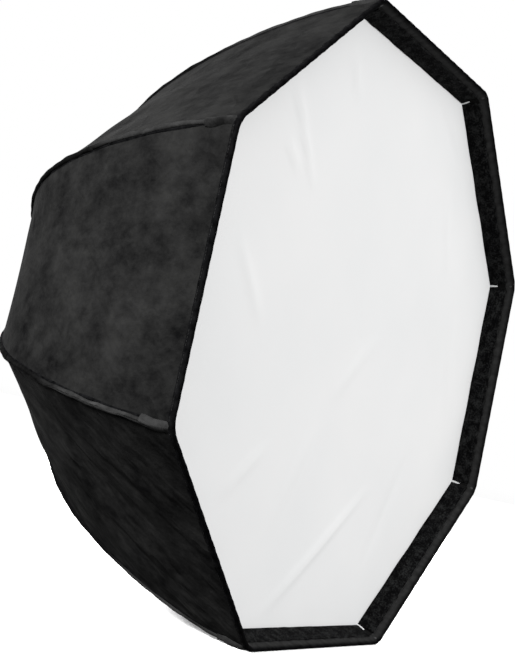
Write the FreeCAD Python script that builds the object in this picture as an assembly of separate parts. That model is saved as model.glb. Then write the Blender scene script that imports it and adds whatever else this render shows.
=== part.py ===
import FreeCAD, Part
import os
from math import acos, asin, atan2, cos, degrees, hypot, radians, sin, sqrt, tan

# Folding octagonal softbox on an umbrella frame. Millimetres.
#
# The open front faces -Y and the shaft lies on the Y axis, with its crown at the back.
# +Z is up. The octagon stands with one flat side at the top and one at the bottom.
# The origin is on the shaft's axis, where a flash bracket clamps it.
#
# Everything is drawn in one working half-plane: x is the radius from the shaft, y runs
# along it, and z is sideways. It is then turned about the Y axis to its rib or panel.
# "Depth" is the distance behind the plane of the front rim.

# Driving dimensions
SIDES = 8
RIM_RADIUS = 400.0
CROWN_DEPTH = 496.0
CROWN_ARC_RADIUS = 345.0
BEND_DEG = 63.2
SHOULDER_DEG = 50.0
MOUNT_DEPTH = 100.0

FABRIC = 1.2
SEAM_GAP = 1.0
FOLD_GAP = 0.6
COVER_EYE_RADIUS = 15.0

RIB_INSET = 5.0
RIB_RADIUS = 2.0
RIB_END_DEPTH = 4.0
TIP_LENGTH = 9.0
TIP_RADIUS = 2.8
TIP_CLEARANCE = 0.02
HINGE_RADIUS = 9.0
EYE_RADIUS = 2.3
EYE_HALF = 1.0
WIRE_RADIUS = 0.8
WIRE_CLEARANCE = 0.15
NECK_LENGTH = 8.5
NECK_HEIGHT = 3.4
ROD_OVERLAP = 3.0

SHOULDER_GAP = 5.0
TONGUE_HEIGHT = 3.6
TONGUE_HALF = 0.8
KNUCKLE_RADIUS = 2.2
FORK_HEIGHT = 3.4
FORK_GAP_HALF = 0.9
STRIP = 1.0
SHOULDER_PIN_RADIUS = 0.75
SHOULDER_PIN_HALF = 1.95
SHOULDER_HOLE_RADIUS = 0.85

STRETCHER = 195.0
STRETCHER_DROP = 5.0
STRETCHER_HEIGHT = 4.0
STRETCHER_HALF = 3.5
STRETCHER_END_RADIUS = 2.6
STRIPS_SHARE = 0.82
FUNNEL_SHARE = 0.89
EAR_HEIGHT = 4.4
RIVET_RADIUS = 1.0
RIVET_HOLE_RADIUS = 1.1
RIVET_HALF = 4.2
RIVET_HEAD_RADIUS = 1.9
RIVET_HEAD = 0.6

SHAFT_RADIUS = 4.0
SHAFT_WALL = 0.7
SHAFT_FRONT_DEPTH = 41.0
SHAFT_BACK_DEPTH = 509.0
SHAFT_FIT = 0.02
STOP_DEPTH = 266.0
STOP_WIDTH = 2.0
STOP_RADIUS = 3.7
END_CAP_LENGTH = 3.0
END_PLUG_LENGTH = 8.0
END_PLUG_CLEARANCE = 0.03
HUB_RADIUS = 13.0
HUB_THICKNESS = 8.0
HUB_SLOT = 3.2
HUB_SLOT_RADIUS = 6.4
HUB_GROOVE_CLEARANCE = 0.05
RUNNER_BORE = 4.08
RUNNER_SLEEVE_RADIUS = 6.1
RUNNER_LENGTH = 50.0
RUNNER_GRIP_RADIUS = 7.6
RUNNER_GRIP_LENGTH = 4.5
LATCH_ANGLE = 90.0
LATCH_WIDTH = 2.0
LATCH_LENGTH = 36.0
LATCH_THICKNESS = 1.0
LATCH_FACE = 3.0
LATCH_HEEL = 12.0
LATCH_TOP_RADIUS = 6.4
LATCH_ROOT_RADIUS = 1.2
LATCH_RUNNER_GAP = 0.4
LATCH_SLOT_CLEARANCE = 0.5
LATCH_SLOT_FLOOR = 0.5
ROSETTE_RADIUS = 22.0
ROSETTE_THICKNESS = 1.2
ROSETTE_GAP = 0.4
FERRULE_GAP = 0.1
FERRULE_FLANGE = 4.0
FERRULE_NECK = 12.0
FERRULE_FLANGE_RADIUS = 9.0
FERRULE_NECK_RADIUS = 7.0
FERRULE_TIP_RADIUS = 6.2

LIP_FRONT_DEPTH = 2.0
LIP_BACK_DEPTH = 33.0
LIP_INSET = 3.0
LIP_THICKNESS = 1.0
LIP_CORNER_GAP = 9.0
DIFFUSER_DEPTH = 30.4
DIFFUSER_THICKNESS = 1.0
DIFFUSER_APOTHEM = 353.8
DIFFUSER_SEAM = 0.9
TAPE_FRONT_DEPTH = 7.0
TAPE_BACK_GAP = 0.2
TAPE_THICKNESS = 1.0
TAPE_CORNER_GAP = 11.0
HOOK_GAP = 0.3

ZIP_SIDE = 6
ZIP_FRONT_DEPTH = 70.0
ZIP_BACK_DEPTH = 270.0
ZIP_SLIT = 5.2
SLIDER_START = 7.0
SLIDER_LENGTH = 11.0
SLIDER_HALF = 4.5
SLIDER_PLATE = 1.4
SLIDER_BRIDGE_HALF = 1.4
SLIDER_GAP = 1.2
PULL_LENGTH = 24.0
PULL_HALF = 2.5
PULL_THICKNESS = 1.2
PULL_RISE = 2.8
PULL_START = 1.0
POST_LENGTH = 3.0
POST_HALF = 1.0
POST_HEIGHT = 1.6
POST_RISE = 2.2
POST_START = 1.6

# Worked-out shape
HALF = radians(180 / SIDES)
CROWN_CENTRE = CROWN_DEPTH - CROWN_ARC_RADIUS
BEND = radians(BEND_DEG)
SHOULDER = radians(SHOULDER_DEG)
BEND_POINT = (CROWN_ARC_RADIUS * sin(BEND), CROWN_CENTRE + CROWN_ARC_RADIUS * cos(BEND))
TO_BEND = (BEND_POINT[0] - RIM_RADIUS, BEND_POINT[1])
SIDE_ARC_RADIUS = (TO_BEND[0] ** 2 + TO_BEND[1] ** 2) / (
    2 * (TO_BEND[0] * sin(BEND) + TO_BEND[1] * cos(BEND)))
SIDE_CENTRE = (BEND_POINT[0] - SIDE_ARC_RADIUS * sin(BEND),
               BEND_POINT[1] - SIDE_ARC_RADIUS * cos(BEND))
RIM_TURN = atan2(RIM_RADIUS - SIDE_CENTRE[0], -SIDE_CENTRE[1])

RIB_ARC = CROWN_ARC_RADIUS - RIB_INSET
CROWN_HINGE = (HINGE_RADIUS, CROWN_CENTRE + sqrt(RIB_ARC ** 2 - HINGE_RADIUS ** 2))
CROWN_TURN = asin(HINGE_RADIUS / RIB_ARC)
RIVET_ARC = RIB_ARC - STRETCHER_DROP
RIVET_TURN = CROWN_TURN + acos(
    (RIB_ARC ** 2 + RIVET_ARC ** 2 - STRETCHER ** 2) / (2 * RIB_ARC * RIVET_ARC))
RIVET = (RIVET_ARC * sin(RIVET_TURN), CROWN_CENTRE + RIVET_ARC * cos(RIVET_TURN))
OPEN_ANGLE = atan2(RIVET[0] - CROWN_HINGE[0], CROWN_HINGE[1] - RIVET[1])
RUNNER_DEPTH = CROWN_HINGE[1] - 2 * STRETCHER * cos(OPEN_ANGLE)
SHOULDER_HINGE = (RIB_ARC * sin(SHOULDER), CROWN_CENTRE + RIB_ARC * cos(SHOULDER))
RUNNER_FRONT_DEPTH = RUNNER_DEPTH - RUNNER_LENGTH
LATCH_DEPTH = RUNNER_FRONT_DEPTH - LATCH_RUNNER_GAP
FERRULE_DEPTH = CROWN_DEPTH + ROSETTE_GAP + ROSETTE_THICKNESS + FERRULE_GAP

LIP_FRONT = (RIM_RADIUS * cos(HALF) - LIP_INSET, LIP_FRONT_DEPTH)
LIP_SLOPE = (DIFFUSER_APOTHEM + DIFFUSER_SEAM - LIP_FRONT[0]) / (DIFFUSER_DEPTH - LIP_FRONT[1])
LIP_LENGTH_PER_DEPTH = hypot(1, LIP_SLOPE)

FAR = 1500.0
ORIGIN = FreeCAD.Vector(0, 0, 0)
BACKWARD = FreeCAD.Vector(0, 1, 0)
SIDEWAYS = FreeCAD.Vector(0, 0, 1)


def at(point, side=0.0):
    """A (radius, depth) point of the working half-plane, in the model's own frame."""
    return FreeCAD.Vector(point[0], point[1] - MOUNT_DEPTH, side)


def on_crown_arc(turn, inset=0.0):
    """A point of the cover's back curve, this far inside it. turn is its normal's angle."""
    radius = CROWN_ARC_RADIUS - inset
    return (radius * sin(turn), CROWN_CENTRE + radius * cos(turn))


def on_side_arc(turn, inset=0.0):
    """A point of the cover's side curve, this far inside it."""
    radius = SIDE_ARC_RADIUS - inset
    return (SIDE_CENTRE[0] + radius * sin(turn), SIDE_CENTRE[1] + radius * cos(turn))


def side_turn(depth):
    """Where the side curve is at this depth."""
    return acos((depth - SIDE_CENTRE[1]) / SIDE_ARC_RADIUS)


def mid_panel(point):
    """The same point where the straight panel between two ribs is nearest to the shaft."""
    return (point[0] * cos(HALF), point[1])


def between(start, end, share):
    """The point at this share of the way from one point to another."""
    return (start[0] + (end[0] - start[0]) * share, start[1] + (end[1] - start[1]) * share)


def rib_angle(number):
    return (number - 0.5) * 360 / SIDES


def panel_angle(number):
    return number * 360 / SIDES


def turned(shape, degrees_round):
    """A shape of the working half-plane, turned about the shaft to its place."""
    copy = shape.copy()
    copy.rotate(ORIGIN, BACKWARD, -degrees_round)
    return copy


def disc(radius, front, back):
    """A round solid on the shaft's axis, between two depths."""
    return Part.makeCylinder(radius, back - front, at((0, front)), BACKWARD)


def cross_pin(radius, centre, low, high):
    """A round solid whose axis lies sideways, as every fold axis does."""
    return Part.makeCylinder(radius, high - low, at(centre, low), SIDEWAYS)


def prism(points, low, high):
    """A solid from an outline in the working half-plane, between two sideways faces."""
    corners = [at(point, low) for point in points]
    outline = Part.makePolygon(corners + corners[:1])
    return Part.Face(outline).extrude(SIDEWAYS * (high - low))


def bar(start, end, height, low, high):
    """A straight flat bar between two points of the working half-plane."""
    length = hypot(end[0] - start[0], end[1] - start[1])
    across = ((end[1] - start[1]) / length * height / 2, (start[0] - end[0]) / length * height / 2)
    return prism([
        (start[0] + across[0], start[1] + across[1]),
        (end[0] + across[0], end[1] + across[1]),
        (end[0] - across[0], end[1] - across[1]),
        (start[0] - across[0], start[1] - across[1])], low, high)


def rod_along(centre, curve, start, end, radius):
    """A round rod that follows an arc about centre, from one turn to the next."""
    section = Part.Face(Part.Wire(Part.makeCircle(
        radius, at(curve(start)), FreeCAD.Vector(cos(start), -sin(start), 0))))
    return section.revolve(at(centre), SIDEWAYS, -degrees(end - start))


def joined(solids):
    """One solid from several that overlap."""
    return solids[0].fuse(solids[1:]).removeSplitter()


def export(name, *solids):
    shape = solids[0] if len(solids) == 1 else Part.makeCompound(list(solids))
    for solid in shape.Solids:
        assert solid.isValid() and solid.Volume > 0, name
    shape.exportStep("parts/" + name + ".step")


# Frame: ribs and stretchers

def rib_curve(turn):
    return on_crown_arc(turn, RIB_INSET)


def rib_side_curve(turn):
    return on_side_arc(turn, RIB_INSET)


def rib_inner():
    """The rib from the crown's wire to the shoulder: an eye, a rod, a rivet and a hinge tongue."""
    rod_start = CROWN_TURN + NECK_LENGTH / RIB_ARC
    rod_end = SHOULDER - SHOULDER_GAP / RIB_ARC
    overlap = ROD_OVERLAP / RIB_ARC
    tongue = (-TONGUE_HALF, TONGUE_HALF)
    parts = [
        rod_along((0, CROWN_CENTRE), rib_curve, rod_start, rod_end, RIB_RADIUS),
        bar(CROWN_HINGE, rib_curve(rod_start + overlap), NECK_HEIGHT, -EYE_HALF, EYE_HALF),
        cross_pin(EYE_RADIUS, CROWN_HINGE, -EYE_HALF, EYE_HALF),
        bar(rib_curve(rod_end - overlap), SHOULDER_HINGE, TONGUE_HEIGHT, *tongue),
        cross_pin(KNUCKLE_RADIUS, SHOULDER_HINGE, *tongue),
        cross_pin(SHOULDER_PIN_RADIUS, SHOULDER_HINGE, -SHOULDER_PIN_HALF, SHOULDER_PIN_HALF),
        bar(rib_curve(RIVET_TURN), RIVET, EAR_HEIGHT, *tongue),
        cross_pin(KNUCKLE_RADIUS, RIVET, *tongue),
        cross_pin(RIVET_RADIUS, RIVET, -RIVET_HALF, RIVET_HALF)]
    for low in (-RIVET_HALF, RIVET_HALF - RIVET_HEAD):
        parts.append(cross_pin(RIVET_HEAD_RADIUS, RIVET, low, low + RIVET_HEAD))
    return joined(parts).cut(cross_pin(WIRE_RADIUS + WIRE_CLEARANCE, CROWN_HINGE, -FAR, FAR))


def rib_outer():
    """The rib from the shoulder's fork to its tip in the front corner."""
    rod_start = SHOULDER + SHOULDER_GAP / RIB_ARC
    rod_end = side_turn(RIB_END_DEPTH)
    reach = rib_curve(rod_start + ROD_OVERLAP / RIB_ARC)
    parts = [
        rod_along((0, CROWN_CENTRE), rib_curve, rod_start, BEND, RIB_RADIUS),
        rod_along(SIDE_CENTRE, rib_side_curve, BEND, rod_end, RIB_RADIUS)]
    for low in (-FORK_GAP_HALF - STRIP, FORK_GAP_HALF):
        parts.append(bar(SHOULDER_HINGE, reach, FORK_HEIGHT, low, low + STRIP))
        parts.append(cross_pin(KNUCKLE_RADIUS, SHOULDER_HINGE, low, low + STRIP))
    return joined(parts).cut(cross_pin(SHOULDER_HOLE_RADIUS, SHOULDER_HINGE, -FAR, FAR))


def rib_tip():
    """The moulded cap on a rib's end."""
    end = side_turn(RIB_END_DEPTH)
    start = end - TIP_LENGTH / SIDE_ARC_RADIUS
    past_start = start - 1 / SIDE_ARC_RADIUS
    shell = rod_along(SIDE_CENTRE, rib_side_curve, start, end, TIP_RADIUS)
    ball = Part.makeSphere(TIP_RADIUS, at(rib_side_curve(end)))
    socket = rod_along(SIDE_CENTRE, rib_side_curve, past_start, end, RIB_RADIUS + TIP_CLEARANCE)
    return joined([shell, ball]).cut(socket)


def stretcher():
    """Two side strips that straddle the rib, closing to one eye on the runner's wire."""
    runner_eye = (HINGE_RADIUS, RUNNER_DEPTH)
    strips_end = between(RIVET, runner_eye, STRIPS_SHARE)
    neck_start = between(RIVET, runner_eye, FUNNEL_SHARE)
    parts = []
    for low in (-STRETCHER_HALF, STRETCHER_HALF - STRIP):
        parts.append(bar(RIVET, strips_end, STRETCHER_HEIGHT, low, low + STRIP))
        parts.append(cross_pin(STRETCHER_END_RADIUS, RIVET, low, low + STRIP))
    funnel = bar(strips_end, neck_start, STRETCHER_HEIGHT, -STRETCHER_HALF, STRETCHER_HALF)
    for side in (-1, 1):
        funnel = funnel.cut(funnel_side(strips_end, neck_start, side))
    parts.append(funnel)
    parts.append(bar(neck_start, runner_eye, NECK_HEIGHT, -EYE_HALF, EYE_HALF))
    parts.append(cross_pin(EYE_RADIUS, runner_eye, -EYE_HALF, EYE_HALF))
    whole = joined(parts).cut(cross_pin(WIRE_RADIUS + WIRE_CLEARANCE, runner_eye, -FAR, FAR))
    return whole.cut(cross_pin(RIVET_HOLE_RADIUS, RIVET, -FAR, FAR))


def funnel_side(start, end, side):
    """The wedge that is taken off each side, where the strips close to the neck."""
    along = FreeCAD.Vector(end[0] - start[0], end[1] - start[1], 0)
    below = FreeCAD.Vector(-along.y, along.x, 0).normalize() * STRETCHER_HEIGHT
    past_end = along / 20
    corners = [
        at(start, side * STRETCHER_HALF) - below,
        at(end, side * STRETCHER_HALF) - below + past_end,
        at(end, side * EYE_HALF) - below + past_end]
    return Part.Face(Part.makePolygon(corners + corners[:1])).extrude(below * 2)


# Frame: shaft and hubs

def hub(depth):
    """A notched collar: slots for the eyes, and a groove that holds the wire ring."""
    front = depth - HUB_THICKNESS / 2
    body = disc(HUB_RADIUS, front, front + HUB_THICKNESS)
    for number in range(1, SIDES + 1):
        corner = at((HUB_SLOT_RADIUS, front - 1), -HUB_SLOT / 2)
        slot = Part.makeBox(FAR, HUB_THICKNESS + 2, HUB_SLOT, corner)
        body = body.cut(turned(slot, rib_angle(number)))
    return body.cut(wire(depth, WIRE_RADIUS + HUB_GROOVE_CLEARANCE))


def wire(depth, radius=WIRE_RADIUS):
    """The wire ring that the eyes hang on."""
    return Part.makeTorus(HINGE_RADIUS, radius, at((0, depth)), BACKWARD)


def shaft():
    """The tube, with the latch's slot and a rolled groove that marks how far a bracket slides on."""
    tube = disc(SHAFT_RADIUS, SHAFT_FRONT_DEPTH, SHAFT_BACK_DEPTH)
    tube = tube.cut(disc(SHAFT_RADIUS - SHAFT_WALL, SHAFT_FRONT_DEPTH - 1, SHAFT_BACK_DEPTH - 2))
    stop = disc(SHAFT_RADIUS + 1, STOP_DEPTH, STOP_DEPTH + STOP_WIDTH)
    stop = stop.cut(disc(STOP_RADIUS, STOP_DEPTH - 1, STOP_DEPTH + STOP_WIDTH + 1))
    width = LATCH_WIDTH + LATCH_SLOT_CLEARANCE
    corner = at((LATCH_SLOT_FLOOR, LATCH_DEPTH - LATCH_LENGTH - 1), -width / 2)
    slot = Part.makeBox(SHAFT_RADIUS + 2, LATCH_LENGTH + 2, width, corner)
    return tube.cut([stop, turned(slot, LATCH_ANGLE)])


def shaft_end_cap():
    plug_radius = SHAFT_RADIUS - SHAFT_WALL - END_PLUG_CLEARANCE
    plug = disc(plug_radius, SHAFT_FRONT_DEPTH, SHAFT_FRONT_DEPTH + END_PLUG_LENGTH)
    end = disc(SHAFT_RADIUS, SHAFT_FRONT_DEPTH - END_CAP_LENGTH, SHAFT_FRONT_DEPTH)
    return joined([plug, end])


def latch_spring():
    """The leaf in the shaft's slot: a ramp whose steep end keeps the open runner back."""
    tail = LATCH_DEPTH - LATCH_LENGTH
    face_start = LATCH_DEPTH - LATCH_FACE
    inside = LATCH_ROOT_RADIUS + LATCH_THICKNESS
    leaf = prism([
        (LATCH_ROOT_RADIUS, tail),
        (inside, tail),
        (inside + LATCH_THICKNESS, tail + LATCH_HEEL),
        (LATCH_TOP_RADIUS, face_start),
        (LATCH_TOP_RADIUS, LATCH_DEPTH),
        (inside, LATCH_DEPTH),
        (inside, face_start),
        (LATCH_ROOT_RADIUS, tail + LATCH_HEEL)], -LATCH_WIDTH / 2, LATCH_WIDTH / 2)
    return turned(leaf, LATCH_ANGLE)


def shaft_hole(back=FAR):
    """What a part that is fixed on the shaft leaves open for it."""
    return disc(SHAFT_RADIUS + SHAFT_FIT, 0, back)


def crown_notch():
    return hub(CROWN_HINGE[1]).cut(shaft_hole())


def runner():
    """The sliding collar: a notched head, a sleeve, and a grip at its front end."""
    sleeve = disc(RUNNER_SLEEVE_RADIUS, RUNNER_FRONT_DEPTH, RUNNER_DEPTH)
    grip = disc(RUNNER_GRIP_RADIUS, RUNNER_FRONT_DEPTH, RUNNER_FRONT_DEPTH + RUNNER_GRIP_LENGTH)
    return joined([hub(RUNNER_DEPTH), sleeve, grip]).cut(disc(RUNNER_BORE, 0, FAR))


def rosette():
    """The washer that covers the cover's eye from outside."""
    front = CROWN_DEPTH + ROSETTE_GAP
    return disc(ROSETTE_RADIUS, front, front + ROSETTE_THICKNESS).cut(shaft_hole())


def rear_ferrule():
    """The screwed cap that clamps the rosette onto the crown."""
    neck_depth = FERRULE_DEPTH + FERRULE_FLANGE
    flange = disc(FERRULE_FLANGE_RADIUS, FERRULE_DEPTH, neck_depth)
    neck = Part.makeCone(
        FERRULE_NECK_RADIUS, FERRULE_TIP_RADIUS, FERRULE_NECK, at((0, neck_depth)), BACKWARD)
    dome = Part.makeSphere(FERRULE_TIP_RADIUS, at((0, neck_depth + FERRULE_NECK)))
    return joined([flange, neck, dome]).cut(shaft_hole(SHAFT_BACK_DEPTH + FERRULE_GAP))


# Cover: panels, lips, diffuser, zip

def wedge(gap):
    """The space between two neighbouring ribs' planes, kept this far from each."""
    tip = gap / sin(HALF)
    spread = (FAR - tip) * tan(HALF)
    corners = [at((tip, -FAR)), at((FAR, -FAR), spread), at((FAR, -FAR), -spread)]
    return Part.Face(Part.makePolygon(corners + corners[:1])).extrude(BACKWARD * 2 * FAR)


def band(stretches):
    """A strip of fabric seen from its edge. Each stretch is (curve, start turn, end turn)."""
    outside = [panel_arc(curve, start, end, 0.0) for curve, start, end in stretches]
    inside = [panel_arc(curve, end, start, FABRIC) for curve, start, end in reversed(stretches)]
    first = outside[0].Vertexes[0].Point
    last = outside[-1].Vertexes[-1].Point
    back_end = Part.makeLine(last, inside[0].Vertexes[0].Point)
    front_end = Part.makeLine(inside[-1].Vertexes[-1].Point, first)
    face = Part.Face(Part.Wire(outside + [back_end] + inside + [front_end]))
    face.translate(SIDEWAYS * -RIM_RADIUS)
    return face.extrude(SIDEWAYS * 2 * RIM_RADIUS)


def panel_arc(curve, start, end, inset):
    points = [at(mid_panel(curve(turn, inset))) for turn in (start, (start + end) / 2, end)]
    return Part.Arc(*points).toShape()


def gore_back():
    """One panel from the crown to the shoulder line."""
    start = asin(COVER_EYE_RADIUS / CROWN_ARC_RADIUS)
    end = SHOULDER - FOLD_GAP / 2 / CROWN_ARC_RADIUS
    return band([(on_crown_arc, start, end)]).common(wedge(SEAM_GAP))


def gore_side():
    """One panel from the shoulder line to the front rim."""
    start = SHOULDER + FOLD_GAP / 2 / CROWN_ARC_RADIUS
    stretches = [(on_crown_arc, start, BEND), (on_side_arc, BEND, RIM_TURN)]
    return band(stretches).common(wedge(SEAM_GAP))


def lip_strip(front, back, inset, thickness, corner_gap):
    """A flat strip along the lip's face. inset is how far towards the shaft it stands off it."""
    def face_point(depth, off):
        radius = LIP_FRONT[0] + LIP_SLOPE * (depth - LIP_FRONT[1])
        return (radius - off * LIP_LENGTH_PER_DEPTH, depth)

    outline = [
        face_point(front, inset), face_point(back, inset),
        face_point(back, inset + thickness), face_point(front, inset + thickness)]
    return prism(outline, -RIM_RADIUS, RIM_RADIUS).common(wedge(corner_gap))


def lip():
    """The hem that turns in behind the rim, with the loop tape on its face."""
    return lip_strip(LIP_FRONT_DEPTH, LIP_BACK_DEPTH, -LIP_THICKNESS, LIP_THICKNESS, LIP_CORNER_GAP)


def diffuser_strip():
    """One hook tape on the diffuser's edge."""
    back = DIFFUSER_DEPTH - TAPE_BACK_GAP
    return lip_strip(TAPE_FRONT_DEPTH, back, HOOK_GAP, TAPE_THICKNESS, TAPE_CORNER_GAP)


def diffuser():
    """The white octagon, flat behind the lips."""
    corner = DIFFUSER_APOTHEM / cos(HALF)
    corners = []
    for number in range(1, SIDES + 1):
        angle = radians(rib_angle(number))
        corners.append(at((corner * cos(angle), DIFFUSER_DEPTH), corner * sin(angle)))
    face = Part.Face(Part.makePolygon(corners + corners[:1]))
    return face.extrude(BACKWARD * DIFFUSER_THICKNESS)


def zip_point(depth):
    return mid_panel(on_side_arc(side_turn(depth)))


def zip_centre():
    """The centre of the arc that the zip follows, through its two ends and its middle."""
    middle_depth = (ZIP_FRONT_DEPTH + ZIP_BACK_DEPTH) / 2
    a, b, c = (zip_point(depth) for depth in (ZIP_FRONT_DEPTH, middle_depth, ZIP_BACK_DEPTH))
    arc = Part.Circle(at(a), at(b), at(c))
    return (arc.Center.x, arc.Center.y + MOUNT_DEPTH)


def zipped(panel):
    """The bottom panel, with the slit that the stand comes through."""
    corner = at((0, ZIP_FRONT_DEPTH), -ZIP_SLIT / 2)
    return panel.cut(Part.makeBox(FAR, ZIP_BACK_DEPTH - ZIP_FRONT_DEPTH, ZIP_SLIT, corner))


def zip_slider():
    """Two plates, a bridge through the slit, and a pull tab that hangs outside."""
    middle = zip_point(ZIP_FRONT_DEPTH + SLIDER_START)
    centre = zip_centre()
    lean = degrees(atan2(middle[1] - centre[1], middle[0] - centre[0]))

    def block(low, height, start, length, half_width):
        corner = at((middle[0] + low, middle[1] + start), -half_width)
        return Part.makeBox(height, length, 2 * half_width, corner)

    back = -SLIDER_LENGTH / 2
    inner = -FABRIC - SLIDER_GAP
    whole = joined([
        block(SLIDER_GAP, SLIDER_PLATE, back, SLIDER_LENGTH, SLIDER_HALF),
        block(inner - SLIDER_PLATE, SLIDER_PLATE, back, SLIDER_LENGTH, SLIDER_HALF),
        block(inner, SLIDER_GAP - inner, back, SLIDER_LENGTH, SLIDER_BRIDGE_HALF),
        block(POST_RISE, POST_HEIGHT, POST_START, POST_LENGTH, POST_HALF),
        block(PULL_RISE, PULL_THICKNESS, PULL_START, PULL_LENGTH, PULL_HALF)])
    whole.rotate(at(middle), SIDEWAYS, lean)
    return whole


os.makedirs("parts", exist_ok=True)

for number in range(1, SIDES + 1):
    rib = rib_angle(number)
    panel = panel_angle(number)
    side_panel = gore_side()
    if number == ZIP_SIDE:
        side_panel = zipped(side_panel)
    export("rib_inner_%d" % number, turned(rib_inner(), rib))
    export("rib_outer_%d" % number, turned(rib_outer(), rib), turned(rib_tip(), rib))
    export("stretcher_%d" % number, turned(stretcher(), rib))
    export("gore_back_%d" % number, turned(gore_back(), panel))
    export("gore_side_%d" % number, turned(side_panel, panel))
    export("lip_%d" % number, turned(lip(), panel))

export("shaft", shaft())
export("shaft_end_cap", shaft_end_cap())
export("crown_notch", crown_notch())
export("crown_wire", wire(CROWN_HINGE[1]))
export("rosette", rosette())
export("rear_ferrule", rear_ferrule())
export("latch_spring", latch_spring())
export("runner", runner())
export("runner_wire", wire(RUNNER_DEPTH))
export("diffuser", diffuser())
tapes = [turned(diffuser_strip(), panel_angle(number)) for number in range(1, SIDES + 1)]
export("diffuser_tapes", *tapes)
export("zip_slider", turned(zip_slider(), panel_angle(ZIP_SIDE)))
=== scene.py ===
import bpy
import random
from math import atan2, cos, exp, hypot, pi, radians, sin, sqrt, tan
from mathutils import Matrix, Vector


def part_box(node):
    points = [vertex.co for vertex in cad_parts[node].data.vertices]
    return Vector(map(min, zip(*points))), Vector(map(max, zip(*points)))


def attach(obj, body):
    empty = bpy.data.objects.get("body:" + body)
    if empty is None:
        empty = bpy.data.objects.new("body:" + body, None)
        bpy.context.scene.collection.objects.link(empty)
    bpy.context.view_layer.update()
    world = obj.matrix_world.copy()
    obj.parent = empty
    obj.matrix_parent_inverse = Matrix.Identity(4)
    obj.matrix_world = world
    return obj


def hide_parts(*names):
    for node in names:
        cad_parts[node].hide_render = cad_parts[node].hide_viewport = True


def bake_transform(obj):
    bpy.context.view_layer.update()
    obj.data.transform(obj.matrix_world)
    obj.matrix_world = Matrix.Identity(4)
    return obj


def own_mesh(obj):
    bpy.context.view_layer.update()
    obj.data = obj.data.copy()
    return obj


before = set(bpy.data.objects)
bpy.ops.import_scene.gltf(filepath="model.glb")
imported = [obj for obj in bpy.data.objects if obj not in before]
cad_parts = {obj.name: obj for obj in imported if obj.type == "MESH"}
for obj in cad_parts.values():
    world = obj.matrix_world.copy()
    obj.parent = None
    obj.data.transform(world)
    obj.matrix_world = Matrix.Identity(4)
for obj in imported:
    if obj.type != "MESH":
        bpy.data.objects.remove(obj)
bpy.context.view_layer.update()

SCENE = bpy.context.scene

# Folding octagonal softbox: the looks. Metres, in the row frame: -Y out of the open front, +Y to
# the crown, +Z up. "Depth" is the distance behind the plane of the front rim.

SIDES = range(1, 9)
SIDE_DEGREES = 45.0
HALF = radians(SIDE_DEGREES / 2)
COS_HALF = cos(HALF)
SIN_HALF = sin(HALF)
TAN_HALF = tan(HALF)

RIM_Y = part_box("gore_side_8")[0].y
RIM_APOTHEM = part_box("gore_side_8")[1].x
RIM_RADIUS = RIM_APOTHEM / COS_HALF
UNDER_ROSETTE = 0.0004
CROWN_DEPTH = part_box("rosette")[0].y - UNDER_ROSETTE - RIM_Y
FLOOR_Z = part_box("gore_side_6")[0].z

# The cover's section through a rib: one arc over the back, and a flatter one down to the rim
CROWN_ARC = 0.345
BEND = radians(63.2)
CROWN_CENTRE = CROWN_DEPTH - CROWN_ARC
BEND_R = CROWN_ARC * sin(BEND)
BEND_DEPTH = CROWN_CENTRE + CROWN_ARC * cos(BEND)
SIDE_ARC = ((BEND_R - RIM_RADIUS) ** 2 + BEND_DEPTH ** 2) / (
    2 * ((BEND_R - RIM_RADIUS) * sin(BEND) + BEND_DEPTH * cos(BEND)))
SIDE_CENTRE = (BEND_R - SIDE_ARC * sin(BEND), BEND_DEPTH - SIDE_ARC * cos(BEND))
RIM_TURN = atan2(RIM_RADIUS - SIDE_CENTRE[0], -SIDE_CENTRE[1])
CROWN_LENGTH = CROWN_ARC * BEND
TOTAL_LENGTH = CROWN_LENGTH + SIDE_ARC * (RIM_TURN - BEND)
SHOULDER_TURN = radians(50.0)
SHOULDER_LENGTH = CROWN_ARC * SHOULDER_TURN
EYE_LENGTH = 0.0155

# Sewn parts. The corners are rounded most at the rim and sharp from ROUNDED_DEPTH on.
CLOTH = 0.0007
LINING_CLOTH = 0.0003
LINING_INSET = 0.0016
CORNER_ROUNDING = 0.026
ROUNDED_DEPTH = 0.06
BINDING_WIDTH = 0.0085
BINDING_OUTSIDE = 0.0052
BINDING_OUT = 0.0009
BINDING_CLOTH = 0.0007
SLEEVE_RADIUS = 0.0036
SLEEVE_START = 0.021
SLEEVE_OVERLAP = 0.004
RIB_ROWS = 230
SEAM_CLOTH = 0.0008
SEAM_END = 0.004
POCKET_LENGTH = 0.042
POCKET_HALF_WIDTH = 0.0058
POCKET_CLOTH = 0.0009
POCKET_END = 0.0035
HEM_SEAM_DEPTH = 0.034
TAPE_WIDTH = 0.0235
TAPE_THICKNESS = 0.0013
TAPE_HALF_LENGTH = 0.1447
LOOP_THICKNESS = 0.0009
LIP_CLOTH = 0.0008
DIFFUSER_CLOTH = 0.0005
CREASE_GAIN = 1.8

# Stitches: (length, width, height) of one, and the section of its thread as (sideways, out)
POCKET_STITCH = (0.0022, 0.0006, 0.0004)
RIM_STITCH = (0.0023, 0.0006, 0.0004)
POCKET_STITCHES = 12
RIM_STITCHES = 84
RIM_STITCH_ROWS = (("outside", 0.14), ("inside", 0.92))
STITCHED_SHARE = 0.96
STITCH_RAISED = 0.0005
STITCH_SECTION = ((-0.5, -0.3), (-0.35, 0.8), (0.35, 0.8), (0.5, -0.3))
STITCH_TIP = 0.62
STITCH_SUNK = 0.3

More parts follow.
